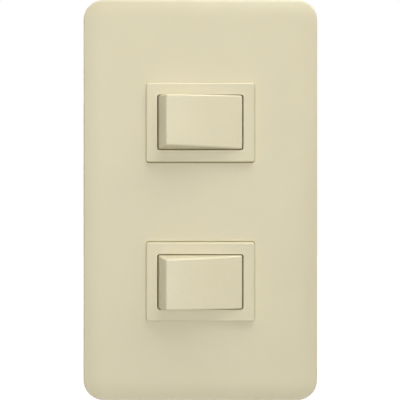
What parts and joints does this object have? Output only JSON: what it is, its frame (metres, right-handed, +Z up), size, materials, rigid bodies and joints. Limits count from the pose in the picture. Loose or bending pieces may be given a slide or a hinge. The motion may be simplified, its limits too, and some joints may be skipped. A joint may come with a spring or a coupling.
{
  "type": "two-gang light switch",
  "caption": "Wall light switch with a smooth rounded clip-on cover plate and side-tipping rockers in raised frames, with rocking contacts and screw terminals behind.",
  "frame": {"origin": "on the wall face, midway between the two box screws", "axes": "+Z up the plate, +Y into the wall, so the rockers face -Y, and +X to the right seen from the front"},
  "size_m": [0.07, 0.0319, 0.12],
  "materials": {
    "plate_ivory": "satin moulded ivory",
    "rocker_ivory": "satin moulded ivory",
    "frame_plastic": "matt moulded light grey",
    "base_plastic": "matt moulded grey",
    "plunger_plastic": "smooth white",
    "zinc_steel": "zinc plated",
    "spring_steel": "drawn wire",
    "brass": "stamped strip",
    "copper_strip": "stamped strip",
    "contact_silver": "bright rivet"
  },
  "bodies": {
    "switch_body": {"cover_plate": "plate_ivory", "support_frame": "frame_plastic", "box_screws": "zinc_steel", "upper_front_housing": "plate_ivory", "upper_base_housing": "base_plastic", "upper_common_terminal": "brass", "upper_switched_terminal": "brass", "upper_fixed_contact": "contact_silver", "upper_terminal_screws": "zinc_steel", "lower_front_housing": "plate_ivory", "lower_base_housing": "base_plastic", "lower_common_terminal": "brass", "lower_switched_terminal": "brass", "lower_fixed_contact": "contact_silver", "lower_terminal_screws": "zinc_steel"},
    "upper_tipping_rocker": {"upper_rocker": "rocker_ivory", "upper_detent_spring": "spring_steel", "upper_plunger": "plunger_plastic"},
    "upper_rocking_contact": {"upper_contact_arm": "copper_strip", "upper_moving_contact": "contact_silver"},
    "lower_tipping_rocker": {"lower_rocker": "rocker_ivory", "lower_detent_spring": "spring_steel", "lower_plunger": "plunger_plastic"},
    "lower_rocking_contact": {"lower_contact_arm": "copper_strip", "lower_moving_contact": "contact_silver"}
  },
  "joints": [
    {"name": "upper_rocker_tip", "type": "hinge", "parent": "switch_body", "child": "upper_tipping_rocker", "pos_m": [0, -0.006, 0.0225], "axis": [0, 0, -1], "range_deg": [0, 25]},
    {"name": "upper_contact_rock", "type": "hinge", "parent": "switch_body", "child": "upper_rocking_contact", "pos_m": [0, 0.00398, 0.0225], "axis": [0, 0, 1], "range_deg": [0, 16]},
    {"name": "lower_rocker_tip", "type": "hinge", "parent": "switch_body", "child": "lower_tipping_rocker", "pos_m": [0, -0.006, -0.0225], "axis": [0, 0, -1], "range_deg": [0, 25]},
    {"name": "lower_contact_rock", "type": "hinge", "parent": "switch_body", "child": "lower_rocking_contact", "pos_m": [0, 0.00398, -0.0225], "axis": [0, 0, 1], "range_deg": [0, 16]}
  ],
  "couplings": [
    {"joint": "upper_contact_rock", "follows": "upper_rocker_tip", "ratio": 0.64},
    {"joint": "lower_contact_rock", "follows": "lower_rocker_tip", "ratio": 0.64}
  ]
}
